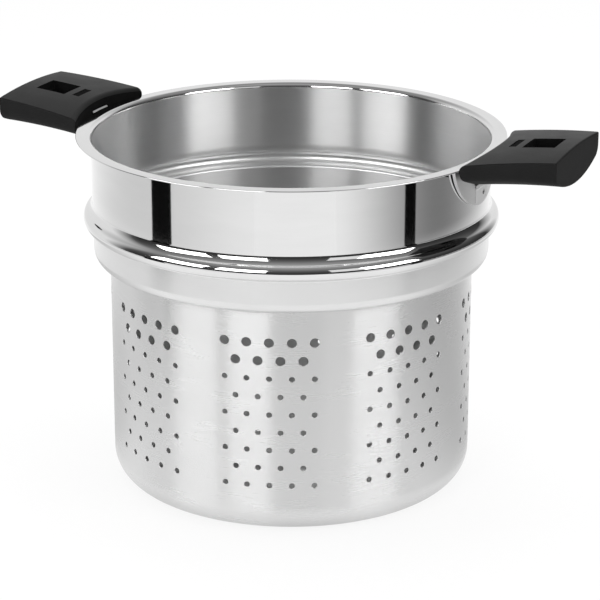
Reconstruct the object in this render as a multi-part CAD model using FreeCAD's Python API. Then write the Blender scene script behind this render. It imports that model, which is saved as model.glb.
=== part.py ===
import FreeCAD, Part
import math
import os

# Pasta strainer insert: a drawn, perforated stainless shell with two black side grips.
# Millimetres. Origin at the centre of the base's underside, +Z up, grips along +X and -X.

Vector = FreeCAD.Vector
ORIGIN = Vector(0, 0, 0)
X_AXIS = Vector(1, 0, 0)
Y_AXIS = Vector(0, 1, 0)
Z_AXIS = Vector(0, 0, 1)
FULL_TURN = 360.0
HALF_TURN = 180.0

# How far a cutting tool reaches past the face that it cuts
overrun = 2.0

# Drawn shell. A rise is measured up from the stretch below, and the collar ends at the rim's top.
sheet = 0.8
base_corner_radius = 18.0
ledge_height = 139.7
ledge_foot_radius = 1.2
ledge_flat = 1.55
shoulder_width = 9.75
band_step = 0.5
bead_rise = 26.3
bead_projection = 5.4
bead_radius = 5.2
bead_upper_flank_angle = 55.0
bead_lower_flank_angle = 75.0
bead_upper_arcs_share = 0.932
bead_lower_foot_radius = 1.0
collar_outer_diameter = 240.0
collar_height = 49.9
rim_overhang = 9.0
rim_bend_radius = 2.1

# Drain holes in the wall: groups of staggered rows, the upper rows larger
hole_group_count = 8
group_offset_angle = 17.9
large_hole_row_count = 2
longest_row_count = 5
top_row_drop = 19.6
bottom_row_margin = 12.0
row_pitch = 11.0
hole_pitch = 13.2
large_hole_diameter = 5.6
small_hole_diameter = 3.3

# Drain holes in the base: one in the middle and rings around it
base_ring_pitch = 15.0
outer_ring_margin = 8.0
first_ring_hole_count = 6
base_hole_diameter = 3.3

# Handle bracket: a curved tab on the collar and a tongue bent out past the rim.
# The tab ends below the rim's bend. A rise is measured up from the tab's lowest point, and a drop
# down from the top of the grip's inner end.
plate = 1.8
tab_bend_radius = 145.0
tab_outline_radius = 34.5
tab_height = 26.7
tab_rim_clearance = 0.5
tongue_width = 18.0
tongue_slit = 0.6
tongue_root_rise = 2.2
tongue_lower_bend_rise = 11.2
tongue_upper_bend_rise = 17.6
tongue_drop = 3.1
tongue_edge_chamfer = 0.9
tongue_rim_clearance = 0.7
tongue_bend_radius = 3.0
weld_mark_rise = 6.4
weld_mark_offset = 3.8
weld_mark_diameter = 3.2
weld_mark_depth = 0.5

# Handle grip, from its seat on the tongue to its outer end
grip_length = 48.2
grip_horn_length = 10.0
grip_inner_width = 87.3
grip_outer_width = 76.4
grip_rim_rise = 3.2
grip_slope_rise = 7.2
grip_top_bulge = 0.9
grip_top_crown = 2.1
grip_inner_side_height = 3.1
grip_outer_side_height = 7.1
grip_lower_corner_radius = 7.5
grip_underside_radius = 90.0
grip_edge_radius = 0.9
grip_rim_edge_radius = 4.0
grip_station_shares = (0.0, 0.25, 0.5, 0.75, 1.0)
seat_depth = 0.9
seat_clearance = 0.25
window_length = 19.3
window_width = 21.0
window_corner_radius = 1.2
window_centre_share = 0.577
recess_centre_share = 0.2365
recess_length = 4.4
recess_width = 16.6
recess_depth = 0.5

# Grip screw and washer
screw_drop = 8.1
screw_diameter = 4.0
screw_thread_clearance = 0.05
screw_hole_clearance = 0.25
clamped_wall = 5.2
washer_thickness = 0.8
washer_diameter = 8.0
washer_bore_clearance = 0.15
head_diameter = 7.6
head_height = 2.2
head_edge_radius = 1.2
counterbore_clearance = 0.3
key_width = 2.5
key_depth = 1.3

# Sizes and places that follow from the ones above
band_outer_diameter = collar_outer_diameter - 2 * band_step
bead_outer_diameter = collar_outer_diameter + 2 * bead_projection
rim_outer_diameter = collar_outer_diameter + 2 * rim_overhang
body_outer_diameter = band_outer_diameter - 2 * shoulder_width
shoulder_radius = shoulder_width - ledge_foot_radius - ledge_flat
bead_height = ledge_height + bead_rise
bead_arcs_width = bead_projection * bead_upper_arcs_share
bead_arcs_radius = bead_arcs_width / (1 - math.cos(math.radians(bead_upper_flank_angle)))
bead_upper_foot_radius = bead_arcs_radius - bead_radius
total_height = bead_height + collar_height
top_row_height = ledge_height - top_row_drop
hole_row_count = 1 + int((top_row_height - base_corner_radius - bottom_row_margin) / row_pitch)
base_flat_radius = body_outer_diameter / 2 - base_corner_radius
base_ring_count = int((base_flat_radius - outer_ring_margin) / base_ring_pitch)
rim_bend_height = total_height - sheet - rim_bend_radius
tab_top_height = rim_bend_height - tab_rim_clearance
tab_bottom_height = tab_top_height - tab_height
grip_seat_reach = rim_outer_diameter / 2 + tongue_rim_clearance + plate
grip_inner_face_radius = grip_seat_reach - seat_depth
grip_inner_reach = grip_seat_reach - grip_horn_length
grip_outer_reach = grip_seat_reach + grip_length
grip_inner_top_height = total_height + grip_rim_rise
grip_outer_top_height = grip_inner_top_height + grip_slope_rise
tongue_top_height = grip_inner_top_height - tongue_drop
screw_height = grip_inner_top_height - screw_drop
window_centre_reach = grip_seat_reach + window_centre_share * grip_length
recess_centre_reach = grip_seat_reach + recess_centre_share * grip_length


def radius_of(diameter):
    return diameter / 2


def turned_left(direction):
    """A direction in the XZ plane turned by a quarter turn to its left."""
    return Vector(-direction.z, 0, direction.x)


def sheet_side(corners, bends, offset):
    """Edges of one face of a bent sheet: lines and arcs at an offset to the left of its mid line."""
    headings = [(after - before).normalize() for before, after in zip(corners, corners[1:])]
    position = corners[0] + turned_left(headings[0]) * offset
    edges = []
    for corner, bend, heading, next_heading in zip(corners[1:], bends, headings, headings[1:]):
        side = math.copysign(1, heading.x * next_heading.z - heading.z * next_heading.x)
        tangent = bend * math.tan(heading.getAngle(next_heading) / 2)
        entry = corner - heading * tangent
        leave = corner + next_heading * tangent
        centre = entry + turned_left(heading) * bend * side
        radius = bend - offset * side
        first = centre + (entry - centre).normalize() * radius
        middle = centre + (corner - centre).normalize() * radius
        last = centre + (leave - centre).normalize() * radius
        edges.append(Part.LineSegment(position, first).toShape())
        edges.append(Part.Arc(first, middle, last).toShape())
        position = last
    end = corners[-1] + turned_left(headings[-1]) * offset
    edges.append(Part.LineSegment(position, end).toShape())
    return edges


def sheet_face(corners, bends, thickness, rounded_end):
    """Section of a bent sheet in the XZ plane, with its far end cut square or rounded."""
    half = thickness / 2
    left = sheet_side(corners, bends, half)
    right = sheet_side(corners, bends, -half)
    left_end = left[-1].Vertexes[-1].Point
    right_end = right[-1].Vertexes[-1].Point
    tip = corners[-1] + (corners[-1] - corners[-2]).normalize() * half
    if rounded_end:
        end_edge = Part.Arc(left_end, tip, right_end).toShape()
    else:
        end_edge = Part.LineSegment(left_end, right_end).toShape()
    start_edge = Part.LineSegment(right[0].Vertexes[0].Point, left[0].Vertexes[0].Point).toShape()
    outline = left + [end_edge] + right[::-1] + [start_edge]
    return Part.Face(Part.Wire(Part.sortEdges(outline)[0]))


def shell_section():
    """Half section of the drawn sheet, from the base's centre to the flange's edge."""
    half = sheet / 2
    body = radius_of(body_outer_diameter) - half
    band = radius_of(band_outer_diameter) - half
    collar = radius_of(collar_outer_diameter) - half
    rim = radius_of(rim_outer_diameter) - half
    ledge = ledge_height + half
    flange = total_height - half

    # The bead's two flanks are tangents of its arc, and they meet outside it
    upper_flank = math.radians(bead_upper_flank_angle)
    lower_flank = math.radians(bead_lower_flank_angle)
    bead_bend = bead_radius - half
    apex_reach = bead_bend / math.cos((upper_flank + lower_flank) / 2)
    apex_tilt = (upper_flank - lower_flank) / 2
    bead_apex = radius_of(bead_outer_diameter) - bead_radius + apex_reach * math.cos(apex_tilt)
    apex_height = bead_height + apex_reach * math.sin(apex_tilt)
    bead_foot = apex_height - (bead_apex - band) / math.tan(lower_flank)
    bead_head = apex_height + (bead_apex - collar) / math.tan(upper_flank)

    corners = [
        Vector(0, 0, half),
        Vector(body, 0, half),
        Vector(body, 0, ledge),
        Vector(band, 0, ledge),
        Vector(band, 0, bead_foot),
        Vector(bead_apex, 0, apex_height),
        Vector(collar, 0, bead_head),
        Vector(collar, 0, flange),
        Vector(rim, 0, flange),
    ]
    bends = [
        base_corner_radius - half,
        ledge_foot_radius + half,
        shoulder_radius - half,
        bead_lower_foot_radius + half,
        bead_bend,
        bead_upper_foot_radius + half,
        rim_bend_radius + half,
    ]
    return sheet_face(corners, bends, sheet, rounded_end=True)


def wall_holes():
    """Radial drills for the groups of staggered rows around the body."""
    body = radius_of(body_outer_diameter)
    inner = body - sheet - overrun
    reach = sheet + 2 * overrun
    pitch_angle = math.degrees(hole_pitch / body)
    drills = []
    for group in range(hole_group_count):
        group_angle = group_offset_angle + group * FULL_TURN / hole_group_count
        for row in range(hole_row_count):
            diameter = large_hole_diameter if row < large_hole_row_count else small_hole_diameter
            holes = longest_row_count - row % 2
            height = top_row_height - row * row_pitch
            for hole in range(holes):
                angle = math.radians(group_angle + (hole - (holes - 1) / 2) * pitch_angle)
                outward = Vector(math.cos(angle), math.sin(angle), 0)
                start = outward * inner + Vector(0, 0, height)
                drills.append(Part.makeCylinder(radius_of(diameter), reach, start, outward))
    return drills


def base_holes():
    """Upright drills for the middle hole and the rings in the base."""
    radius = radius_of(base_hole_diameter)
    reach = sheet + 2 * overrun
    drills = [Part.makeCylinder(radius, reach, Vector(0, 0, -overrun), Z_AXIS)]
    for ring in range(1, base_ring_count + 1):
        holes = ring * first_ring_hole_count
        for hole in range(holes):
            angle = math.radians((hole + ring % 2 / 2) * FULL_TURN / holes)
            ring_radius = ring * base_ring_pitch
            start = Vector(ring_radius * math.cos(angle), ring_radius * math.sin(angle), -overrun)
            drills.append(Part.makeCylinder(radius, reach, start, Z_AXIS))
    return drills


def strainer_shell():
    drawn = shell_section().revolve(ORIGIN, Z_AXIS, FULL_TURN)
    return drawn.cut(Part.makeCompound(wall_holes() + base_holes()))


def tab_prism(reach):
    """Block with the tab's outline: a disc's lower segment, cut level at the top."""
    centre_height = tab_bottom_height + tab_outline_radius
    disc = Part.makeCylinder(tab_outline_radius, reach, Vector(0, 0, centre_height), X_AXIS)
    box_width = 2 * tab_outline_radius
    box_height = tab_top_height - tab_bottom_height
    corner = Vector(0, -tab_outline_radius, tab_bottom_height)
    return disc.common(Part.makeBox(reach, box_width, box_height, corner))


def tongue_strip():
    """Bent strip from the tab, out below the rim and up behind the grip."""
    tab_middle = radius_of(collar_outer_diameter) + plate / 2
    seat_middle = grip_seat_reach - plate / 2
    corners = [
        Vector(tab_middle, 0, tab_bottom_height + tongue_root_rise),
        Vector(tab_middle, 0, tab_bottom_height + tongue_lower_bend_rise),
        Vector(seat_middle, 0, tab_bottom_height + tongue_upper_bend_rise),
        Vector(seat_middle, 0, tongue_top_height),
    ]
    bends = [tongue_bend_radius, tongue_bend_radius]
    section = sheet_face(corners, bends, plate, rounded_end=False)
    section.translate(Vector(0, -tongue_width / 2, 0))
    strip = section.extrude(Y_AXIS * tongue_width)
    end_edges = [
        edge for edge in strip.Edges
        if edge.BoundBox.YLength > tongue_width / 2
        and edge.BoundBox.ZMin > tongue_top_height - plate
        and edge.BoundBox.XMax < seat_middle
    ]
    return strip.makeChamfer(tongue_edge_chamfer, end_edges)


def handle_bracket():
    collar = radius_of(collar_outer_diameter)
    axis = Vector(collar - tab_bend_radius, 0, 0)
    inner = Part.makeCylinder(tab_bend_radius, total_height, axis, Z_AXIS)
    outer = Part.makeCylinder(tab_bend_radius + plate, total_height, axis, Z_AXIS)
    tab = outer.cut(inner).common(tab_prism(collar + plate + overrun))

    slot_width = tongue_width + 2 * tongue_slit
    slot_corner = Vector(0, -slot_width / 2, tab_bottom_height + tongue_lower_bend_rise)
    slot = Part.makeBox(grip_seat_reach, slot_width, tab_top_height, slot_corner)
    bracket = tab.cut(slot).fuse(tongue_strip()).removeSplitter()

    mark_height = tab_bottom_height + weld_mark_rise
    mark_start = Vector(collar + plate - weld_mark_depth, weld_mark_offset, mark_height)
    mark = Part.makeCylinder(radius_of(weld_mark_diameter), overrun, mark_start, X_AXIS)
    thread = Part.makeCylinder(
        radius_of(screw_diameter), plate + 2 * overrun,
        Vector(grip_seat_reach - plate - overrun, 0, screw_height), X_AXIS)
    return bracket.cut(mark).cut(thread)


def along_grip(inner_value, outer_value, share):
    return inner_value + (outer_value - inner_value) * share


def grip_top_height(share):
    """Height of the top's middle line, above the sides by the crown and bulging along the grip."""
    bulge = 4 * grip_top_bulge * share * (1 - share)
    side = along_grip(grip_inner_top_height, grip_outer_top_height, share)
    return side + bulge + grip_top_crown


def share_at(reach):
    return (reach - grip_inner_reach) / (grip_outer_reach - grip_inner_reach)


def grip_section(share):
    """Cross-section of the grip: crowned top, short sides, large lower corners, crowned underside."""
    reach = along_grip(grip_inner_reach, grip_outer_reach, share)
    half_width = along_grip(grip_inner_width, grip_outer_width, share) / 2
    top = grip_top_height(share)
    side_height = along_grip(grip_inner_side_height, grip_outer_side_height, share)
    corner = grip_lower_corner_radius
    corner_top = top - grip_top_crown - side_height

    # The lower corner's arc leaves the side upright and meets the underside's arc without a kink
    inset = half_width - corner
    rise = math.sqrt((grip_underside_radius - corner) ** 2 - inset ** 2)
    underside = corner_top + rise - grip_underside_radius
    turn = math.atan2(rise, inset)
    corner_angles = (0, turn / 2, turn)

    edges = []
    corner_ends = []
    for side in (1, -1):
        top_edge = Vector(reach, side * half_width, top - grip_top_crown)
        arc_points = [
            Vector(reach, side * (inset + corner * math.cos(angle)), corner_top - corner * math.sin(angle))
            for angle in corner_angles
        ]
        edges.append(Part.LineSegment(top_edge, arc_points[0]).toShape())
        edges.append(Part.Arc(*arc_points).toShape())
        corner_ends.append((top_edge, arc_points[-1]))
    (near_top, near_bottom), (far_top, far_bottom) = corner_ends
    edges.append(Part.Arc(near_top, Vector(reach, 0, top), far_top).toShape())
    edges.append(Part.Arc(near_bottom, Vector(reach, 0, underside), far_bottom).toShape())
    return Part.Wire(Part.sortEdges(edges)[0])


def grip_body():
    """Solid grip, hollowed at the rim side along the shell's curve, with softened edges."""
    body = Part.makeLoft([grip_section(share) for share in grip_station_shares], True, False)
    hollow = Part.makeCylinder(grip_inner_face_radius, 2 * total_height)
    hollow.rotate(ORIGIN, Z_AXIS, HALF_TURN)
    body = body.cut(hollow)
    rim_edges = [
        edge for edge in body.Edges
        if edge.BoundBox.XMax < grip_seat_reach
        and edge.BoundBox.YLength > grip_inner_width / 2
        and edge.BoundBox.ZMin > screw_height
    ]
    body = body.makeFillet(grip_rim_edge_radius, rim_edges)
    soft_edges = [
        edge for edge in body.Edges
        if edge.BoundBox.XMin > grip_outer_reach - overrun
        or edge.BoundBox.XLength > window_length and edge.BoundBox.ZMax > grip_outer_top_height - overrun
    ]
    return body.makeFillet(grip_edge_radius, soft_edges)


def grip_window():
    length = window_length
    width = window_width
    corner = Vector(window_centre_reach - length / 2, -width / 2, 0)
    window = Part.makeBox(length, width, 2 * total_height, corner)
    upright = [edge for edge in window.Edges if edge.BoundBox.ZLength > total_height]
    return window.makeFillet(window_corner_radius, upright)


def bare_recess():
    """Shallow plain recess on the top, tilted with the slope there."""
    share = share_at(recess_centre_reach)
    ahead = share_at(recess_centre_reach + recess_length)
    rise = grip_top_height(ahead) - grip_top_height(share)
    tilt = math.degrees(math.atan2(rise, recess_length))
    corner = Vector(-recess_length / 2, -recess_width / 2, -recess_depth)
    recess = Part.makeBox(recess_length, recess_width, recess_depth + overrun, corner)
    recess.rotate(ORIGIN, Y_AXIS, -tilt)
    recess.translate(Vector(recess_centre_reach, 0, grip_top_height(share)))
    return recess


def tongue_seat():
    """Flat-bottomed pocket in the rim side, open downwards, that the tongue lies in."""
    width = tongue_width + 2 * seat_clearance
    height = tongue_top_height + seat_clearance
    return Part.makeBox(grip_seat_reach, width, height, Vector(0, -width / 2, 0))


def screw_passage():
    """Clearance hole through the clamped wall and the counterbore from the window."""
    hole_radius = radius_of(screw_diameter) + screw_hole_clearance
    start = Vector(grip_seat_reach - overrun, 0, screw_height)
    hole = Part.makeCylinder(hole_radius, clamped_wall + 2 * overrun, start, X_AXIS)
    bore_radius = radius_of(washer_diameter) + counterbore_clearance
    bore_start = Vector(grip_seat_reach + clamped_wall, 0, screw_height)
    bore_depth = window_centre_reach - bore_start.x
    return hole.fuse(Part.makeCylinder(bore_radius, bore_depth, bore_start, X_AXIS))


def handle_grip():
    cuts = [grip_window(), bare_recess(), tongue_seat(), screw_passage()]
    return grip_body().cut(cuts)


def handle_washer():
    start = Vector(grip_seat_reach + clamped_wall, 0, screw_height)
    disc = Part.makeCylinder(radius_of(washer_diameter), washer_thickness, start, X_AXIS)
    bore_radius = radius_of(screw_diameter) + washer_bore_clearance
    return disc.cut(Part.makeCylinder(bore_radius, washer_thickness, start, X_AXIS))


def handle_screw():
    """Button-head screw with a six-sided key socket, its point level with the tongue."""
    head_reach = grip_seat_reach + clamped_wall + washer_thickness
    point_reach = grip_seat_reach - plate
    shank_radius = radius_of(screw_diameter) - screw_thread_clearance
    shank_start = Vector(point_reach, 0, screw_height)
    shank = Part.makeCylinder(shank_radius, head_reach - point_reach, shank_start, X_AXIS)
    head_start = Vector(head_reach, 0, screw_height)
    head = Part.makeCylinder(radius_of(head_diameter), head_height, head_start, X_AXIS)
    rim = [edge for edge in head.Edges if edge.BoundBox.XMin > head_reach + head_height / 2]
    head = head.makeFillet(head_edge_radius, rim)

    sides = 6
    socket_radius = radius_of(key_width) / math.cos(math.pi / sides)
    socket_middle = Vector(head_reach + head_height - key_depth, 0, screw_height)
    angles = [math.radians(side * FULL_TURN / sides) for side in range(sides + 1)]
    corners = [
        socket_middle + Vector(0, math.cos(angle), math.sin(angle)) * socket_radius
        for angle in angles
    ]
    socket = Part.Face(Part.makePolygon(corners)).extrude(X_AXIS * (key_depth + overrun))
    return shank.fuse(head).removeSplitter().cut(socket)


def main():
    os.makedirs("parts", exist_ok=True)
    strainer_shell().exportStep("parts/strainer_shell.step")
    handle_pieces = {
        "handle_bracket": handle_bracket(),
        "handle_grip": handle_grip(),
        "handle_screw": handle_screw(),
        "handle_washer": handle_washer(),
    }
    for name, piece in handle_pieces.items():
        opposite = piece.copy()
        opposite.rotate(ORIGIN, Z_AXIS, HALF_TURN)
        piece.exportStep(f"parts/{name}_right.step")
        opposite.exportStep(f"parts/{name}_left.step")


main()
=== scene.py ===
import math

import bpy
import numpy as np
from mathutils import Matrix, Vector
from mathutils.geometry import delaunay_2d_cdt


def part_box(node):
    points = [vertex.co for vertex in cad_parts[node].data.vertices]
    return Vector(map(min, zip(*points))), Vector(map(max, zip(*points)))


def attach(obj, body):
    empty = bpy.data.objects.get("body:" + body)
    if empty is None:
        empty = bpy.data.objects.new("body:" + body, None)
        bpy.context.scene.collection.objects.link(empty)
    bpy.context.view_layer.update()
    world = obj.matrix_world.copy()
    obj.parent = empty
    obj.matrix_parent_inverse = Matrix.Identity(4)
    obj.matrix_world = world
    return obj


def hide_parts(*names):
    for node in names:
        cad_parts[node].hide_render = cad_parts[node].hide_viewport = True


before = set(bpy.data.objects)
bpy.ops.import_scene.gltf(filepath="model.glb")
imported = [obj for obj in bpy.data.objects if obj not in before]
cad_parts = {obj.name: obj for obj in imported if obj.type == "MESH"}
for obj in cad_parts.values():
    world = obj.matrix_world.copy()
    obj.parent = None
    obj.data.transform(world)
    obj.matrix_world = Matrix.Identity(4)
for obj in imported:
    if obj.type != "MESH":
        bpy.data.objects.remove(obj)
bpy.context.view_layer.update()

# Metres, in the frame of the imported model: origin at the base's centre, +Z up, grips along +X and -X.
MM = 0.001

# Sections of the drawn shell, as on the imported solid
SHEET = 0.8 * MM
HALF_SHEET = SHEET / 2
TOTAL_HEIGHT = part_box("strainer_shell")[1].z
RIM_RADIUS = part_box("strainer_shell")[1].x
RIM_BEND = 2.1 * MM
COLLAR_RADIUS = 120 * MM
BEAD_OUTER_RADIUS = 125.4 * MM
BEAD_HEIGHT = 166 * MM
BEAD_RADIUS = 5.2 * MM
BEAD_UPPER_FLANK = math.radians(55)
BEAD_LOWER_FLANK = math.radians(75)
BEAD_UPPER_FOOT = 6.6 * MM
BEAD_LOWER_FOOT = 1.0 * MM
BAND_RADIUS = 119.5 * MM
SHOULDER_RADIUS = 7 * MM
LEDGE_HEIGHT = 139.7 * MM
LEDGE_FOOT = 1.2 * MM
BODY_RADIUS = 109.75 * MM
BASE_CORNER = 18 * MM

# Groove behind the bead: how far its finish reaches below and above the bead's height
GROOVE_DROP = 8 * MM
GROOVE_RISE = 5 * MM

# Drain holes
HOLE_GROUPS = 8
GROUP_OFFSET = math.radians(17.9)
HOLE_ROWS = 9
LARGE_ROWS = 2
LONGEST_ROW = 5
TOP_ROW_HEIGHT = 120.1 * MM
ROW_PITCH = 11 * MM
HOLE_PITCH = 13.2 * MM
LARGE_HOLE_RADIUS = 2.8 * MM
SMALL_HOLE_RADIUS = 1.65 * MM
BASE_RINGS = 5
BASE_RING_PITCH = 15 * MM
FIRST_RING_HOLES = 6
BASE_HOLE_RADIUS = 1.65 * MM
PUNCH_ROUNDING = 0.18 * MM

# Grips: the bare recess on top, the window and the inner face, where the plastic is darkened: the recess is
# darker, and shade is painted in the window and on the inner face. A reach runs from the axis to a middle.
RECESS_REACH = 142.9 * MM
RECESS_LENGTH = 4.4 * MM
RECESS_WIDTH = 16.6 * MM
WINDOW_REACH = 159.3 * MM
WINDOW_LENGTH = 19.6 * MM
WINDOW_WIDTH = 21.3 * MM
INNER_FACE_RADIUS = 131.0 * MM

# How the shell is divided: a wall hole sits in a square block of cells, and the base's holes in a flat disc
BLOCK_CELLS = 8
GAP_CELLS = 8
BASE_DISC_RADIUS = 82 * MM
BASE_HOLE_SIDES = 24
ARC_STEP = math.radians(6)
FEWEST_ARC_STEPS = 2
FLANGE_EDGE_STEPS = 6
MERGE_DISTANCE = 1e-9

# Camera. Its turn is measured round the shell's axis, from -Y towards +X, and its distance from that axis.
CAMERA_TURN = math.radians(24.6)
CAMERA_DISTANCE = 1.444
CAMERA_HEIGHT = 0.6022
CAMERA_PITCH = math.radians(18.86)
CAMERA_LENS = 149.4
CAMERA_SENSOR = 36.0
CAMERA_SHIFT_X = 0.0145

# Studio. Turns are degrees round from the camera's side, climbs are degrees up from the floor, and tones
# are against the white floor's 1.
WHOLE_TURN = (-180, 180)
WHOLE_CLIMB = (0, 90)
STUDIO_RADIUS = 1.25
PATCH_TURN_STEPS = 72
PATCH_CLIMB_STEPS = 18

# Dark room on the camera's side: the turns where it ends, the turn over which it fades, and its tones
ROOM_TURNS = (-114, 145)
ROOM_FADE = 20
ROOM_HORIZON = 0.04
ROOM_ZENITH = 0.42
ROOM_CURVE = 3

# Behind the shell, a backdrop that darkens to the ceiling's tone between two climbs
BACKDROP_CLIMBS = (25, 55)
BACKDROP_TONE = 0.88
CEILING_TONE = 0.3

# Softboxes in the dark room, one of them the dim spill beside the right one: (turns, tone)
SOFTBOX_RADIUS = 1.2
SOFTBOX_CLIMBS = (18, 40)
SOFTBOX_TONE = 5.2
SPILL_TONE = 0.9
SOFTBOXES = {
    "softbox_left": ((-39, -13), SOFTBOX_TONE),
    "softbox_far_left": ((-77, -46), SOFTBOX_TONE),
    "softbox_right": ((38, 69), SOFTBOX_TONE),
    "softbox_spill": ((20, 38), SPILL_TONE),
}

# Black flags between the room and the shell: (turns, distance from the axis)
FLAGS = {
    "left_flag": ((-77.0, -64.0), 0.545),
    "right_flag": ((59.9, 66.8), 0.550),
}
FLAG_HEIGHTS = (0.030, 0.13)
FLAG_TONE = 0.003
FLAG_STEPS = 8

# Floor, and the share of its white that doesn't depend on the light
FLOOR_CORNERS = ((-1, -1), (1, -1), (1, 1), (-1, 1))
FLOOR_REACH = 6.0
FLOOR_HEIGHT = -0.1 * MM
FLOOR_COLOUR = (0.95, 0.95, 0.95, 1)
FLOOR_ROUGHNESS = 0.9
FLOOR_GLOW_SHARE = 0.85

# Painted shadow on the floor round the base's corner, as reflections see it: (distance from the axis, tone)
CONTACT_FLOOR = ((0.0955, 0.45), (0.101, 0.75), (0.112, 0.93), (0.13, 1))
CONTACT_STEPS = 96
FLOOR_SHADE_LIFT = 0.3 * MM

# Grey floor beside the shell, as reflections see it, near and farther out: (middle turn, half turn, depth)
NEAR_SHADES = {"left": (-130, 56, 0.36), "right": (110, 56, 0.36)}
FAR_SHADES = {"left": (-85, 66, 0.26), "right": (85, 62, 0.78)}
# Share of a shade's depth at distances from the axis
NEAR_SHADE_FADE = ((0.13, 1), (0.42, 1), (0.5, 0))
FAR_SHADE_FADE = ((0.5, 0), (0.6, 0.4), (0.67, 1), (1.1, 1))
SHADE_SHARPNESS = 0.7
SHADE_STEPS = 72

# Strength of the white surroundings as light, and where they are seen directly or in a reflection
WORLD_LIGHT = 0.75
WORLD_SEEN = 1.0

# Lamps, aimed at the shell's middle: (turn, distance from the axis, height, width, length, watts)
LAMPS = {
    "front_left": (-26, 1.6, 0.9, 0.6, 1.0, 5),
    "front_right": (53, 1.6, 0.9, 0.8, 1.0, 5),
    "top": (180, 0.4, 1.8, 1.4, 1.4, 16),
}

# Noise mostly stays between these values
NOISE_RANGE = (0.3, 0.7)

# Worn edges: width of the worn strip, and likeness of the rounded and the plain normal at full and no wear
STEEL_EDGE = 0.5 * MM
PLASTIC_EDGE = 0.7 * MM
EDGE_LIKENESS = (0.8, 0.99)
EDGE_SAMPLES = 4

# Finishes of the shell's steel and of the handles' metal: (tone, roughness, brushing, anisotropy)
STEEL_LOOKS = {
    "polished": (0.77, 0.05, 0.006, 0.0),
    "band": (0.77, 0.24, 0.01, 0.5),
    "wall": (0.77, 0.27, 0.004, 1.0),
    "inside": (0.79, 0.39, 0.012, 1.0),
    "inside_groove": (0.82, 0.36, 0.008, 0.0),
    "cut_edge": (0.72, 0.30, 0.01, 0.0),
}
FINISHES = tuple(STEEL_LOOKS)
PLATE_LOOK = (0.62, 0.32, 0.01, 0.0)
PLATE_EDGE_WEAR = 0.1

# Brush lines and smudges of the steel. A pace is how fast the noise changes with height or radius, and
# round the axis. A quarter turn stretches the wall's reflections up and down, across the brush lines.
BRUSH_PACE = (2600.0, 5.0)
BRUSH_NOISE = {"Scale": 1.0, "Detail": 3.0, "Roughness": 0.6}
BRUSH_DEPTH = 0.0001 * MM
BRUSH_ROTATION = 0.25
SMUDGE_PACE = (90.0, 3.0)
SMUDGE_NOISE = {"Scale": 1.0, "Detail": 2.0, "Roughness": 0.5}
SMUDGE_TONE = 0.012
SMUDGE_HAZE_SHARE = 0.02

# Plastic of the grips: fine grain, clouds in the dye and the roughness, and faces smoothed by handling
# where they look up
GRAIN_NOISE = {"Scale": 2600.0, "Detail": 2.0}
GRAIN_STRENGTH = 0.12
GRAIN_DEPTH = 0.2 * MM
CLOUD_NOISE = {"Scale": 60.0, "Detail": 3.0}
CLOUD_HAZE = 0.03
HANDLED_FACING = (0.3, 0.9)
HANDLED_ROUGHNESS = (0.68, 0.45)
PLASTIC_DYE = (0.006, 0.009)
PLASTIC_EDGE_WEAR = 0.02
PLASTIC_SPECULAR = 0.16
# Share of the dye kept in the darker recess, and where shade is painted in the window and on the face at
# the shell
RECESS_AND_PAINTED_SHADE_SHARE = 0.2


def turned(angle):
    return np.array([math.cos(angle), math.sin(angle)])


def left_of(direction):
    return np.array([-direction[1], direction[0]])


def sheet_curve(corners, bends, offset):
    """Points (radius, height) and normals along one face of a bent sheet, offset from its mid line."""
    corners = [np.array(corner) for corner in corners]
    headings = []
    for before, after in zip(corners, corners[1:]):
        step = after - before
        headings.append(math.atan2(step[1], step[0]))
    facing = math.copysign(1, offset)
    first = left_of(turned(headings[0]))
    curve = [(corners[0] + first * offset, first * facing)]
    for corner, bend, heading, following in zip(corners[1:], bends, headings, headings[1:]):
        turn = (following - heading + math.pi) % (2 * math.pi) - math.pi
        side = math.copysign(1, turn)
        entry = corner - turned(heading) * bend * math.tan(abs(turn) / 2)
        centre = entry + left_of(turned(heading)) * bend * side
        steps = max(FEWEST_ARC_STEPS, math.ceil(abs(turn) / ARC_STEP))
        for step in range(steps + 1):
            left = left_of(turned(heading + turn * step / steps))
            curve.append((centre - left * (bend * side - offset), left * facing))
    last = left_of(turned(headings[-1]))
    curve.append((corners[-1] + last * offset, last * facing))
    return curve


class ShellMesh:
    """Collects the shell's vertices with their true normals, and its faces with their finishes."""

    def __init__(self):
        self.points = []
        self.normals = []
        self.faces = []
        self.finishes = []

    def vertex(self, point, normal):
        self.points.append(point)
        self.normals.append(normal)
        return len(self.points) - 1

    def turned_vertex(self, angle, place, normal):
        """Vertex at (radius, height), turned about the axis."""
        cos, sin = math.cos(angle), math.sin(angle)
        return self.vertex((place[0] * cos, place[0] * sin, place[1]),
                           (normal[0] * cos, normal[0] * sin, normal[1]))

    def ring(self, place, normal):
        return [self.turned_vertex(angle, place, normal) for angle in COLUMN_ANGLES]

    def face(self, corners, finish):
        self.faces.append(corners)
        self.finishes.append(FINISHES.index(finish))

    def bridge(self, lower, upper, finish):
        """Closed band of faces between two loops. It faces outwards where the second loop is higher."""
        for near in range(len(lower)):
            far = (near + 1) % len(lower)
            self.face((lower[near], lower[far], upper[far], upper[near]), finish)

    def build(self, name, materials):
        mesh = bpy.data.meshes.new(name)
        mesh.from_pydata(self.points, [], self.faces)
        for material in materials:
            mesh.materials.append(material)
        mesh.polygons.foreach_set("material_index", self.finishes)
        mesh.polygons.foreach_set("use_smooth", [True] * len(self.faces))
        mesh.normals_split_custom_set_from_vertices(self.normals)
        shell = bpy.data.objects.new(name, mesh)
        bpy.context.scene.collection.objects.link(shell)
        return shell


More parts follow.
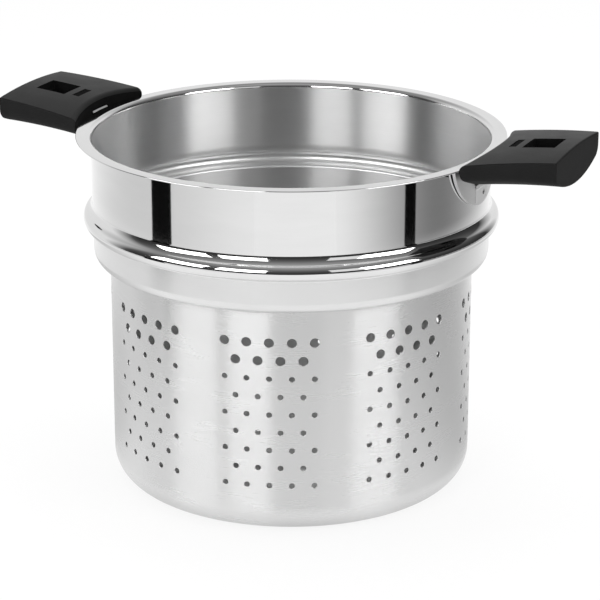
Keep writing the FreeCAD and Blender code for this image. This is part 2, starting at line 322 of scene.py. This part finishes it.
def column_angles():
    """Angles of the shell's columns: even steps through each hole group and through each gap."""
    pitch = HOLE_PITCH / BODY_RADIUS
    group_turn = 2 * math.pi / HOLE_GROUPS
    group_cells = LONGEST_ROW * BLOCK_CELLS
    gap = group_turn - LONGEST_ROW * pitch
    angles = []
    for group in range(HOLE_GROUPS):
        start = GROUP_OFFSET + group * group_turn - LONGEST_ROW * pitch / 2
        angles += [start + cell * pitch / BLOCK_CELLS for cell in range(group_cells)]
        angles += [start + LONGEST_ROW * pitch + cell * gap / GAP_CELLS for cell in range(GAP_CELLS)]
    return angles


# Grid of the perforated wall
COLUMN_ANGLES = column_angles()
COLUMNS = len(COLUMN_ANGLES)
GROUP_COLUMNS = LONGEST_ROW * BLOCK_CELLS + GAP_CELLS
LEVELS = HOLE_ROWS * BLOCK_CELLS
CELL_WIDTH = HOLE_PITCH / BLOCK_CELLS
CELL_HEIGHT = ROW_PITCH / BLOCK_CELLS
HOLES_BOTTOM = TOP_ROW_HEIGHT - (HOLE_ROWS - 0.5) * ROW_PITCH
HOLES_TOP = TOP_ROW_HEIGHT + 0.5 * ROW_PITCH
WALL_INNER_RADIUS = BODY_RADIUS - SHEET


def lower_corners():
    """Mid line of the sheet from the base to the foot of the perforated band."""
    body = BODY_RADIUS - HALF_SHEET
    return [(BASE_DISC_RADIUS, HALF_SHEET), (body, HALF_SHEET), (body, HOLES_BOTTOM)]


def upper_corners():
    """Mid line of the sheet from the head of the perforated band to the flange's edge."""
    body = BODY_RADIUS - HALF_SHEET
    band = BAND_RADIUS - HALF_SHEET
    collar = COLLAR_RADIUS - HALF_SHEET
    rim = RIM_RADIUS - HALF_SHEET
    ledge = LEDGE_HEIGHT + HALF_SHEET
    flange = TOTAL_HEIGHT - HALF_SHEET
    bead_bend = BEAD_RADIUS - HALF_SHEET
    apex_reach = bead_bend / math.cos((BEAD_UPPER_FLANK + BEAD_LOWER_FLANK) / 2)
    apex_tilt = (BEAD_UPPER_FLANK - BEAD_LOWER_FLANK) / 2
    bead_apex = BEAD_OUTER_RADIUS - BEAD_RADIUS + apex_reach * math.cos(apex_tilt)
    apex_height = BEAD_HEIGHT + apex_reach * math.sin(apex_tilt)
    bead_foot = apex_height - (bead_apex - band) / math.tan(BEAD_LOWER_FLANK)
    bead_head = apex_height + (bead_apex - collar) / math.tan(BEAD_UPPER_FLANK)
    return [
        (body, HOLES_TOP),
        (body, ledge),
        (band, ledge),
        (band, bead_foot),
        (bead_apex, apex_height),
        (collar, bead_head),
        (collar, flange),
        (rim, flange),
    ]


# Bends at the corners of the two mid lines
LOWER_BENDS = [BASE_CORNER - HALF_SHEET]
UPPER_BENDS = [
    LEDGE_FOOT + HALF_SHEET,
    SHOULDER_RADIUS - HALF_SHEET,
    BEAD_LOWER_FOOT + HALF_SHEET,
    BEAD_RADIUS - HALF_SHEET,
    BEAD_UPPER_FOOT + HALF_SHEET,
    RIM_BEND + HALF_SHEET,
]

# Heights where the upper sheet's finish changes
BEND_FOOT = TOTAL_HEIGHT - SHEET - RIM_BEND
GROOVE_HEIGHTS = (BEAD_HEIGHT - GROOVE_DROP, BEAD_HEIGHT + GROOVE_RISE)
BEAD_FOOT = BEAD_HEIGHT - BEAD_RADIUS


def lower_finish(place, inner):
    """Finish of the lower sheet, the same at each place on one face."""
    return "inside" if inner else "wall"


def upper_finish(place, inner):
    """Finish of the upper sheet at a place on its face."""
    height = place[1]
    if inner:
        if height > BEND_FOOT:
            return "polished"
        return "inside_groove" if GROOVE_HEIGHTS[0] < height < GROOVE_HEIGHTS[1] else "inside"
    if height > BEAD_FOOT:
        return "polished"
    return "wall" if height < LEDGE_HEIGHT else "band"


def add_turned_sheet(shell, corners, bends, finish_at):
    """Both faces of a turned stretch of sheet. Returns the rings of the outer and of the inner face."""
    faces = []
    for offset, inner in ((-HALF_SHEET, False), (HALF_SHEET, True)):
        curve = sheet_curve(corners, bends, offset)
        rings = [shell.ring(place, normal) for place, normal in curve]
        for at in range(len(rings) - 1):
            middle = (curve[at][0] + curve[at + 1][0]) / 2
            pair = (rings[at + 1], rings[at]) if inner else (rings[at], rings[at + 1])
            shell.bridge(*pair, finish_at(middle, inner))
        faces.append(rings)
    return faces


def base_hole_centres():
    centres = [np.zeros(2)]
    for ring in range(1, BASE_RINGS + 1):
        holes = ring * FIRST_RING_HOLES
        for hole in range(holes):
            angle = (hole + ring % 2 / 2) * 2 * math.pi / holes
            centres.append(turned(angle) * ring * BASE_RING_PITCH)
    return centres


def add_base(shell, outer_ring, inner_ring):
    """Flat base inside the two given rings, with its drain holes."""
    edge = [turned(angle) * BASE_DISC_RADIUS for angle in COLUMN_ANGLES]
    centres = base_hole_centres()
    spokes = [turned(side * 2 * math.pi / BASE_HOLE_SIDES) for side in range(BASE_HOLE_SIDES)]
    rim_radius = BASE_HOLE_RADIUS + PUNCH_ROUNDING
    rim_points = [centre + spoke * rim_radius for centre in centres for spoke in spokes]
    starts = [COLUMNS + number * BASE_HOLE_SIDES for number in range(len(centres))]
    edges = [(at, (at + 1) % COLUMNS) for at in range(COLUMNS)]
    for start in starts:
        edges += [(start + side, start + (side + 1) % BASE_HOLE_SIDES) for side in range(BASE_HOLE_SIDES)]
    flat = [Vector(point) for point in edge + rim_points]
    triangles = delaunay_2d_cdt(flat, edges, [], 0, MERGE_DISTANCE)[2]

    def in_a_hole(triangle):
        owners = {(corner - COLUMNS) // BASE_HOLE_SIDES for corner in triangle}
        return len(owners) == 1 and min(triangle) >= COLUMNS

    def flat_vertices(ring, height, facing):
        return ring + [shell.vertex((*point, height), (0, 0, facing)) for point in rim_points]

    top = flat_vertices(inner_ring, SHEET, 1)
    bottom = flat_vertices(outer_ring, 0, -1)
    for triangle in triangles:
        if in_a_hole(triangle):
            continue
        shell.face(tuple(top[corner] for corner in triangle), "inside")
        shell.face(tuple(bottom[corner] for corner in reversed(triangle)), "wall")

    for start, centre in zip(starts, centres):
        places = [centre + spoke * BASE_HOLE_RADIUS for spoke in spokes]
        rings = [top[start:start + BASE_HOLE_SIDES]]
        for height in (SHEET - PUNCH_ROUNDING, PUNCH_ROUNDING):
            rings.append([
                shell.vertex((place[0], place[1], height), (-spoke[0], -spoke[1], 0))
                for place, spoke in zip(places, spokes)
            ])
        rings.append(bottom[start:start + BASE_HOLE_SIDES])
        for first, second in zip(rings, rings[1:]):
            shell.bridge(first, second, "cut_edge")


def wall_holes():
    """First column, first level from below and radius of each wall hole's block of cells."""
    holes = []
    for group in range(HOLE_GROUPS):
        for row in range(HOLE_ROWS):
            staggered = row % 2
            radius = LARGE_HOLE_RADIUS if row < LARGE_ROWS else SMALL_HOLE_RADIUS
            level = (HOLE_ROWS - 1 - row) * BLOCK_CELLS
            for hole in range(LONGEST_ROW - staggered):
                column = group * GROUP_COLUMNS + hole * BLOCK_CELLS + staggered * BLOCK_CELLS // 2
                holes.append((column, level, radius))
    return holes


def block_cells(holes):
    """Cells that the holes' blocks take up, and the grid places inside the blocks."""
    taken = set()
    hidden = set()
    for column, level, _ in holes:
        for across in range(BLOCK_CELLS):
            for up in range(BLOCK_CELLS):
                taken.add((column + across, level + up))
                if across and up:
                    hidden.add((column + across, level + up))
    return taken, hidden


def block_loop(column, level):
    """Grid places round a hole's block, anticlockwise as seen from outside."""
    size = BLOCK_CELLS
    steps = range(size)
    loop = [(column + step, level) for step in steps]
    loop += [(column + size, level + step) for step in steps]
    loop += [(column + size - step, level + size) for step in steps]
    loop += [(column, level + size - step) for step in steps]
    return loop


def wall_grid(shell, hidden, radius, facing, bottom, top):
    """Rings of one face of the perforated band, with no vertex at the hidden places."""
    rings = [bottom]
    for level in range(1, LEVELS):
        height = HOLES_BOTTOM + (HOLES_TOP - HOLES_BOTTOM) * level / LEVELS
        rings.append([
            None if (column, level) in hidden else shell.turned_vertex(angle, (radius, height), (facing, 0))
            for column, angle in enumerate(COLUMN_ANGLES)
        ])
    return rings + [top]


def hole_ring(shell, middle, spokes, hole_radius, wall_radius, facing):
    """Ring round a wall hole. Facing 1 is out of the shell, -1 into it and 0 across the hole."""
    middle_angle, middle_height = middle
    ring = []
    for spoke in spokes:
        angle = middle_angle + hole_radius * math.cos(spoke) / wall_radius
        height = middle_height + hole_radius * math.sin(spoke)
        out = np.array([math.cos(angle), math.sin(angle), 0])
        around = np.array([-math.sin(angle), math.cos(angle), 0])
        towards_middle = -around * math.cos(spoke) - np.array([0, 0, math.sin(spoke)])
        normal = out * facing if facing else towards_middle
        ring.append(shell.vertex((wall_radius * out[0], wall_radius * out[1], height), tuple(normal)))
    return ring


def add_wall_hole(shell, hole, outer, inner):
    """Punched hole with rounded edges, between the two grids' places round its block."""
    column, level, radius = hole
    loop = block_loop(column, level)
    middle = (COLUMN_ANGLES[column] + HOLE_PITCH / BODY_RADIUS / 2,
              HOLES_BOTTOM + (level + BLOCK_CELLS / 2) * CELL_HEIGHT)
    spokes = [math.atan2((up - level - BLOCK_CELLS / 2) * CELL_HEIGHT,
                         (across - column - BLOCK_CELLS / 2) * CELL_WIDTH) for across, up in loop]
    rings = [
        [outer[up][across % COLUMNS] for across, up in loop],
        hole_ring(shell, middle, spokes, radius + PUNCH_ROUNDING, BODY_RADIUS, 1),
        hole_ring(shell, middle, spokes, radius, BODY_RADIUS - PUNCH_ROUNDING, 0),
        hole_ring(shell, middle, spokes, radius, WALL_INNER_RADIUS + PUNCH_ROUNDING, 0),
        hole_ring(shell, middle, spokes, radius + PUNCH_ROUNDING, WALL_INNER_RADIUS, -1),
        [inner[up][across % COLUMNS] for across, up in loop],
    ]
    finishes = ("wall", "cut_edge", "cut_edge", "cut_edge", "inside")
    for first, second, finish in zip(rings, rings[1:], finishes):
        shell.bridge(first, second, finish)


def add_perforated_band(shell, outer_bottom, outer_top, inner_bottom, inner_top):
    """Wall between the given rings, with a punched hole in each hole's block."""
    holes = wall_holes()
    taken, hidden = block_cells(holes)
    outer = wall_grid(shell, hidden, BODY_RADIUS, 1, outer_bottom, outer_top)
    inner = wall_grid(shell, hidden, WALL_INNER_RADIUS, -1, inner_bottom, inner_top)
    for level in range(LEVELS):
        for column in range(COLUMNS):
            if (column, level) in taken:
                continue
            far = (column + 1) % COLUMNS
            shell.face((outer[level][column], outer[level][far],
                        outer[level + 1][far], outer[level + 1][column]), "wall")
            shell.face((inner[level][far], inner[level][column],
                        inner[level + 1][column], inner[level + 1][far]), "inside")
    for hole in holes:
        add_wall_hole(shell, hole, outer, inner)


def add_flange_edge(shell, outer_ring, inner_ring):
    """Rounded edge of the flange."""
    centre = np.array(upper_corners()[-1])
    rings = [outer_ring]
    for step in range(1, FLANGE_EDGE_STEPS):
        direction = turned(math.pi * step / FLANGE_EDGE_STEPS - math.pi / 2)
        rings.append(shell.ring(centre + direction * HALF_SHEET, direction))
    rings.append(inner_ring)
    for first, second in zip(rings, rings[1:]):
        shell.bridge(first, second, "polished")


def strainer_shell(materials):
    """Whole shell with its holes. The materials come in the order of the finishes."""
    shell = ShellMesh()
    outer_low, inner_low = add_turned_sheet(shell, lower_corners(), LOWER_BENDS, lower_finish)
    outer_high, inner_high = add_turned_sheet(shell, upper_corners(), UPPER_BENDS, upper_finish)
    add_base(shell, outer_low[0], inner_low[0])
    add_perforated_band(shell, outer_low[-1], outer_high[0], inner_low[-1], inner_high[0])
    add_flange_edge(shell, outer_high[-1], inner_high[-1])
    return shell.build("perforated_shell", materials)


class Nodes:
    """Short hand for building the node tree of a material or of the world."""

    def __init__(self, owner):
        owner.use_nodes = True
        self.owner = owner
        self.tree = owner.node_tree

    @property
    def shader(self):
        return self.tree.nodes["Principled BSDF"]

    def add(self, kind, settings=None, **inputs):
        node = self.tree.nodes.new(kind)
        for key, value in (settings or {}).items():
            setattr(node, key, value)
        for key, value in inputs.items():
            self.set(node.inputs[key.replace("_", " ")], value)
        return node

    def set(self, socket, value):
        if isinstance(value, bpy.types.NodeSocket):
            self.tree.links.new(value, socket)
        else:
            socket.default_value = value

    def math(self, operation, *values):
        node = self.add("ShaderNodeMath", {"operation": operation})
        for socket, value in zip(node.inputs, values):
            self.set(socket, value)
        return node.outputs[0]

    def ranged(self, value, low, high, to_low, to_high):
        node = self.add("ShaderNodeMapRange", None, Value=value, From_Min=low, From_Max=high,
                        To_Min=to_low, To_Max=to_high)
        return node.outputs["Result"]

    def noise(self, place, settings):
        return self.add("ShaderNodeTexNoise", None, Vector=place, **settings).outputs["Fac"]

    def spread(self, noise, low, high):
        """Noise, stretched from its usual range to another."""
        return self.ranged(noise, *NOISE_RANGE, low, high)

    def grey(self, value):
        """Colour with the same value in each channel."""
        return self.add("ShaderNodeCombineColor", None, Red=value, Green=value, Blue=value).outputs["Color"]

    def seen(self):
        """1 for rays from the camera, from a reflection or through something clear, 0 for diffuse ones."""
        path = self.add("ShaderNodeLightPath").outputs
        passed_on = self.math("MAXIMUM", path["Is Glossy Ray"], path["Is Transmission Ray"])
        return self.math("MAXIMUM", path["Is Camera Ray"], passed_on)

    def principled(self, **inputs):
        for key, value in inputs.items():
            self.set(self.shader.inputs[key.replace("_", " ")], value)
        return self.owner

    def surface(self, shader):
        """Shows the given shader in place of the Principled one."""
        self.set(self.tree.nodes["Material Output"].inputs["Surface"], shader)
        return self.owner


def round_the_axis(nodes, across, along):
    """Noise coordinates, fast with height, or with radius on the base, and slow round the axis."""
    place = nodes.add("ShaderNodeTexCoord").outputs["Object"]
    parts = nodes.add("ShaderNodeSeparateXYZ", None, Vector=place)
    flat = nodes.add("ShaderNodeCombineXYZ", None, X=parts.outputs["X"], Y=parts.outputs["Y"])
    radius = nodes.add("ShaderNodeVectorMath", {"operation": "LENGTH"}, Vector=flat.outputs[0])
    direction = nodes.add("ShaderNodeVectorMath", {"operation": "NORMALIZE"}, Vector=flat.outputs[0])
    turn = nodes.add("ShaderNodeSeparateXYZ", None, Vector=direction.outputs[0])
    climb = nodes.math("ADD", parts.outputs["Z"], radius.outputs["Value"])
    return nodes.add(
        "ShaderNodeCombineXYZ", None,
        X=nodes.math("MULTIPLY", turn.outputs["X"], along),
        Y=nodes.math("MULTIPLY", turn.outputs["Y"], along),
        Z=nodes.math("MULTIPLY", climb, across)).outputs[0]


def edge_mask(nodes, width):
    """1 on sharp edges, 0 on flat faces."""
    rounded = nodes.add("ShaderNodeBevel", {"samples": EDGE_SAMPLES}, Radius=width).outputs["Normal"]
    plain = nodes.add("ShaderNodeNewGeometry").outputs["Normal"]
    likeness = nodes.add("ShaderNodeVectorMath", {"operation": "DOT_PRODUCT"})
    nodes.set(likeness.inputs[0], rounded)
    nodes.set(likeness.inputs[1], plain)
    return nodes.ranged(likeness.outputs["Value"], *EDGE_LIKENESS, 1.0, 0.0)


def steel(name, tone, roughness, brushing, anisotropy, edge_wear=0.0):
    """Stainless steel with brush lines round the axis, faint smudges and, where asked for, worn edges."""
    nodes = Nodes(bpy.data.materials.new(name))
    lines = nodes.noise(round_the_axis(nodes, *BRUSH_PACE), BRUSH_NOISE)
    smudges = nodes.noise(round_the_axis(nodes, *SMUDGE_PACE), SMUDGE_NOISE)
    brush = nodes.spread(lines, -brushing, brushing)
    shade = nodes.math("ADD", brush, nodes.spread(smudges, -SMUDGE_TONE, SMUDGE_TONE))
    smudge_haze = SMUDGE_HAZE_SHARE * roughness
    haze = nodes.spread(smudges, -smudge_haze, smudge_haze)
    rough = nodes.math("ADD", nodes.math("ADD", brush, haze), roughness)
    colour = nodes.math("ADD", shade, tone)
    if edge_wear:
        wear = nodes.math("MULTIPLY", edge_mask(nodes, STEEL_EDGE), edge_wear)
        colour = nodes.math("ADD", colour, wear)
    bump = nodes.add("ShaderNodeBump", None, Strength=1.0, Distance=BRUSH_DEPTH, Height=lines)
    tangent = nodes.add("ShaderNodeTangent", {"direction_type": "RADIAL", "axis": "Z"})
    return nodes.principled(
        Base_Color=nodes.grey(colour), Metallic=1.0, Roughness=rough, Normal=bump.outputs["Normal"],
        Anisotropic=anisotropy, Anisotropic_Rotation=BRUSH_ROTATION, Tangent=tangent.outputs[0])


def recess_and_painted_shade(nodes, place):
    """1 in a grip's darker recess, and in its window and on its face at the shell, where shade is painted;
    0 elsewhere.
    """
    sides = nodes.add("ShaderNodeSeparateXYZ", None, Vector=place).outputs
    reach = nodes.math("ABSOLUTE", sides["X"])
    across = nodes.math("ABSOLUTE", sides["Y"])

    def inside_box(middle, length, width):
        return nodes.math("MULTIPLY", nodes.math("COMPARE", reach, middle, length / 2),
                          nodes.math("LESS_THAN", across, width / 2))

    radius = nodes.math("SQRT", nodes.math("ADD", nodes.math("MULTIPLY", reach, reach),
                                           nodes.math("MULTIPLY", across, across)))
    openings = nodes.math("MAXIMUM", inside_box(RECESS_REACH, RECESS_LENGTH, RECESS_WIDTH),
                          inside_box(WINDOW_REACH, WINDOW_LENGTH, WINDOW_WIDTH))
    return nodes.math("MAXIMUM", openings, nodes.math("LESS_THAN", radius, INNER_FACE_RADIUS))


def moulded_plastic():
    """Matte black plastic with a fine grain, shinier on top from handling, paler at worn edges, darker in
    the recess, and with shade painted in the window and on the face at the shell.
    """
    nodes = Nodes(bpy.data.materials.new("grip_plastic"))
    place = nodes.add("ShaderNodeTexCoord").outputs["Object"]
    grain = nodes.noise(place, GRAIN_NOISE)
    clouds = nodes.noise(place, CLOUD_NOISE)
    bump = nodes.add("ShaderNodeBump", None, Strength=GRAIN_STRENGTH, Distance=GRAIN_DEPTH, Height=grain)
    recess_and_shade_mask = recess_and_painted_shade(nodes, place)
    normal = nodes.add("ShaderNodeNewGeometry").outputs["Normal"]
    facing = nodes.add("ShaderNodeSeparateXYZ", None, Vector=normal).outputs["Z"]
    handled = nodes.ranged(facing, *HANDLED_FACING, *HANDLED_ROUGHNESS)
    rough = nodes.math("ADD", handled, nodes.spread(clouds, -CLOUD_HAZE, CLOUD_HAZE))
    patchy_wear = nodes.spread(clouds, 0.0, PLASTIC_EDGE_WEAR)
    wear = nodes.math("MULTIPLY", edge_mask(nodes, PLASTIC_EDGE), patchy_wear)
    dye = nodes.math("ADD", nodes.spread(clouds, *PLASTIC_DYE), wear)
    # Painted shade in the window and on the face at the shell, and the recess's darker tone
    darkening = nodes.ranged(recess_and_shade_mask, 0, 1, 1, RECESS_AND_PAINTED_SHADE_SHARE)
    return nodes.principled(
        Base_Color=nodes.grey(nodes.math("MULTIPLY", dye, darkening)),
        Roughness=nodes.math("MAXIMUM", rough, recess_and_shade_mask), Specular_IOR_Level=PLASTIC_SPECULAR,
        Normal=bump.outputs["Normal"])


def round_camera(turn_degrees, distance, height):
    """Place at an angle to the right of the camera's side of the shell."""
    turn = CAMERA_TURN + math.radians(turn_degrees)
    return Vector((distance * math.sin(turn), -distance * math.cos(turn), height))


def add_camera():
    camera = bpy.data.cameras.new("camera")
    camera.lens = CAMERA_LENS
    camera.sensor_width = CAMERA_SENSOR
    camera.shift_x = CAMERA_SHIFT_X
    holder = bpy.data.objects.new("camera", camera)
    holder.location = round_camera(0, CAMERA_DISTANCE, CAMERA_HEIGHT)
    holder.rotation_euler = (math.pi / 2 - CAMERA_PITCH, 0, CAMERA_TURN)
    bpy.context.scene.collection.objects.link(holder)
    bpy.context.scene.camera = holder


def add_quad(name, corners, material):
    mesh = bpy.data.meshes.new(name)
    mesh.from_pydata([tuple(corner) for corner in corners], [], [tuple(range(len(corners)))])
    mesh.materials.append(material)
    quad = bpy.data.objects.new(name, mesh)
    bpy.context.scene.collection.objects.link(quad)


def white_floor():
    """White where seen directly or in metal, with a part of the real shading so that a shadow shows."""
    nodes = Nodes(bpy.data.materials.new("floor"))
    nodes.principled(Base_Color=FLOOR_COLOUR, Roughness=FLOOR_ROUGHNESS, Specular_IOR_Level=0.0)
    share = nodes.math("MULTIPLY", nodes.seen(), FLOOR_GLOW_SHARE)
    glow = nodes.add("ShaderNodeEmission", None, Strength=1.0).outputs[0]
    mix = nodes.add("ShaderNodeMixShader")
    for socket, value in zip(mix.inputs, (share, nodes.shader.outputs[0], glow)):
        nodes.set(socket, value)
    return nodes.surface(mix.outputs[0])


def glow_material():
    """Glow as strong as the tone that each point of a card carries, the same from every side."""
    nodes = Nodes(bpy.data.materials.new("card_glow"))
    nodes.tree.nodes.remove(nodes.shader)
    tone = nodes.add("ShaderNodeAttribute", {"attribute_name": "tone"}).outputs["Fac"]
    return nodes.surface(nodes.add("ShaderNodeEmission", None, Strength=tone).outputs[0])


CARD_GLOW = glow_material()


def add_card(name, rows):
    """Card from rows of (corner, tone). It shows only in the metal's and the plastic's reflections."""
    wide = len(rows[0])
    faces = [
        (row * wide + at, row * wide + at + 1, (row + 1) * wide + at + 1, (row + 1) * wide + at)
        for row in range(len(rows) - 1) for at in range(wide - 1)
    ]
    mesh = bpy.data.meshes.new(name)
    mesh.from_pydata([tuple(corner) for row in rows for corner, _ in row], [], faces)
    mesh.attributes.new("tone", "FLOAT", "POINT").data.foreach_set(
        "value", [tone for row in rows for _, tone in row])
    mesh.materials.append(CARD_GLOW)
    card = bpy.data.objects.new(name, mesh)
    bpy.context.scene.collection.objects.link(card)
    card.visible_camera = False
    card.visible_shadow = False
    card.visible_diffuse = False


def span(low, high, steps):
    return [low + (high - low) * step / steps for step in range(steps + 1)]


def add_studio_patch(name, turns, climbs, radius, tone_at):
    """Part of a dome over the shell, between two angles round and two angles up."""
    rows = []
    for climb in span(*climbs, PATCH_CLIMB_STEPS):
        reach = radius * math.cos(math.radians(climb))
        height = radius * math.sin(math.radians(climb))
        rows.append([
            (round_camera(turn, reach, height), tone_at(turn, climb))
            for turn in span(*turns, PATCH_TURN_STEPS)
        ])
    add_card(name, rows)


def room_tone(turn, climb):
    """Dark on the camera's side and lighter overhead. Behind the shell, pale below a grey ceiling."""
    overhead = math.sin(math.radians(climb)) ** ROOM_CURVE
    front = ROOM_HORIZON + (ROOM_ZENITH - ROOM_HORIZON) * overhead
    back = np.interp(climb, BACKDROP_CLIMBS, (BACKDROP_TONE, CEILING_TONE))
    inside = min(turn - ROOM_TURNS[0], ROOM_TURNS[1] - turn) / ROOM_FADE
    return back + (front - back) * min(1, max(0, inside))


def even_tone(tone):
    """Tone of a patch that glows alike all over."""
    return lambda turn, climb: tone


def add_flag(name, turns, distance):
    """Upright black card between two angles round from the camera's side."""
    add_card(name, [
        [(round_camera(turn, distance, height), FLAG_TONE) for turn in span(*turns, FLAG_STEPS)]
        for height in FLAG_HEIGHTS
    ])


def add_floor_shade(name, shade, fade):
    """Flat card just above the floor, darkest at its middle turn and white at both ends."""
    middle, half_turn, depth = shade
    columns = []
    for turn in span(middle - half_turn, middle + half_turn, SHADE_STEPS):
        dip = 0.5 + 0.5 * math.cos(math.pi * (turn - middle) / half_turn)
        columns.append((turn, depth * dip ** SHADE_SHARPNESS))
    add_card(name, [
        [(round_camera(turn, distance, FLOOR_SHADE_LIFT), 1 - dark * share) for turn, dark in columns]
        for distance, share in fade
    ])


def add_contact_shade():
    """Ring just above the floor with a painted shadow, darker towards the base."""
    turns = span(*WHOLE_TURN, CONTACT_STEPS)
    add_card("contact_shade", [
        [(round_camera(turn, distance, FLOOR_SHADE_LIFT), tone) for turn in turns]
        for distance, tone in CONTACT_FLOOR
    ])


def add_world():
    """White surroundings, dimmer as light than where they are seen."""
    world = bpy.data.worlds.new("studio")
    bpy.context.scene.world = world
    nodes = Nodes(world)
    background = nodes.tree.nodes["Background"]
    strength = nodes.ranged(nodes.seen(), 0, 1, WORLD_LIGHT, WORLD_SEEN)
    nodes.set(background.inputs["Color"], (1, 1, 1, 1))
    nodes.set(background.inputs["Strength"], strength)


def add_lamp(name, turn_degrees, distance, height, width, length, watts):
    light = bpy.data.lights.new(name, "AREA")
    light.shape = "RECTANGLE"
    light.size = width
    light.size_y = length
    light.energy = watts
    lamp = bpy.data.objects.new(name, light)
    lamp.location = round_camera(turn_degrees, distance, height)
    aim = Vector((0, 0, TOTAL_HEIGHT / 2)) - lamp.location
    lamp.rotation_euler = aim.to_track_quat("-Z", "Y").to_euler()
    lamp.visible_glossy = False
    bpy.context.scene.collection.objects.link(lamp)


# Shell, modelled again with rounded hole edges and several finishes
shell = strainer_shell([steel(f"{finish}_steel", *look) for finish, look in STEEL_LOOKS.items()])
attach(shell, "root")
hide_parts("strainer_shell")

# Handles, as packed, with their materials
plastic = moulded_plastic()
plate = steel("plate_steel", *PLATE_LOOK, edge_wear=PLATE_EDGE_WEAR)
for side in ("right", "left"):
    for part, material in (("grip", plastic), ("bracket", plate), ("screw", plate), ("washer", plate)):
        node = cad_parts[f"handle_{part}_{side}"]
        node.data.materials.clear()
        node.data.materials.append(material)

floor_corners = [(x * FLOOR_REACH, y * FLOOR_REACH, FLOOR_HEIGHT) for x, y in FLOOR_CORNERS]
add_quad("floor", floor_corners, white_floor())

# Studio: a dark room on the camera's side with softboxes in it, two flags nearer the shell, and floor that
# reflections see as grey at both sides and dark round the base
add_studio_patch("room", WHOLE_TURN, WHOLE_CLIMB, STUDIO_RADIUS, room_tone)
for name, (turns, tone) in SOFTBOXES.items():
    add_studio_patch(name, turns, SOFTBOX_CLIMBS, SOFTBOX_RADIUS, even_tone(tone))
for name, (turns, distance) in FLAGS.items():
    add_flag(name, turns, distance)
for side in ("left", "right"):
    add_floor_shade(f"{side}_near_shade", NEAR_SHADES[side], NEAR_SHADE_FADE)
    add_floor_shade(f"{side}_far_shade", FAR_SHADES[side], FAR_SHADE_FADE)
add_contact_shade()

add_world()
for name, setting in LAMPS.items():
    add_lamp(name, *setting)
add_camera()

bpy.context.scene.view_settings.view_transform = "Standard"
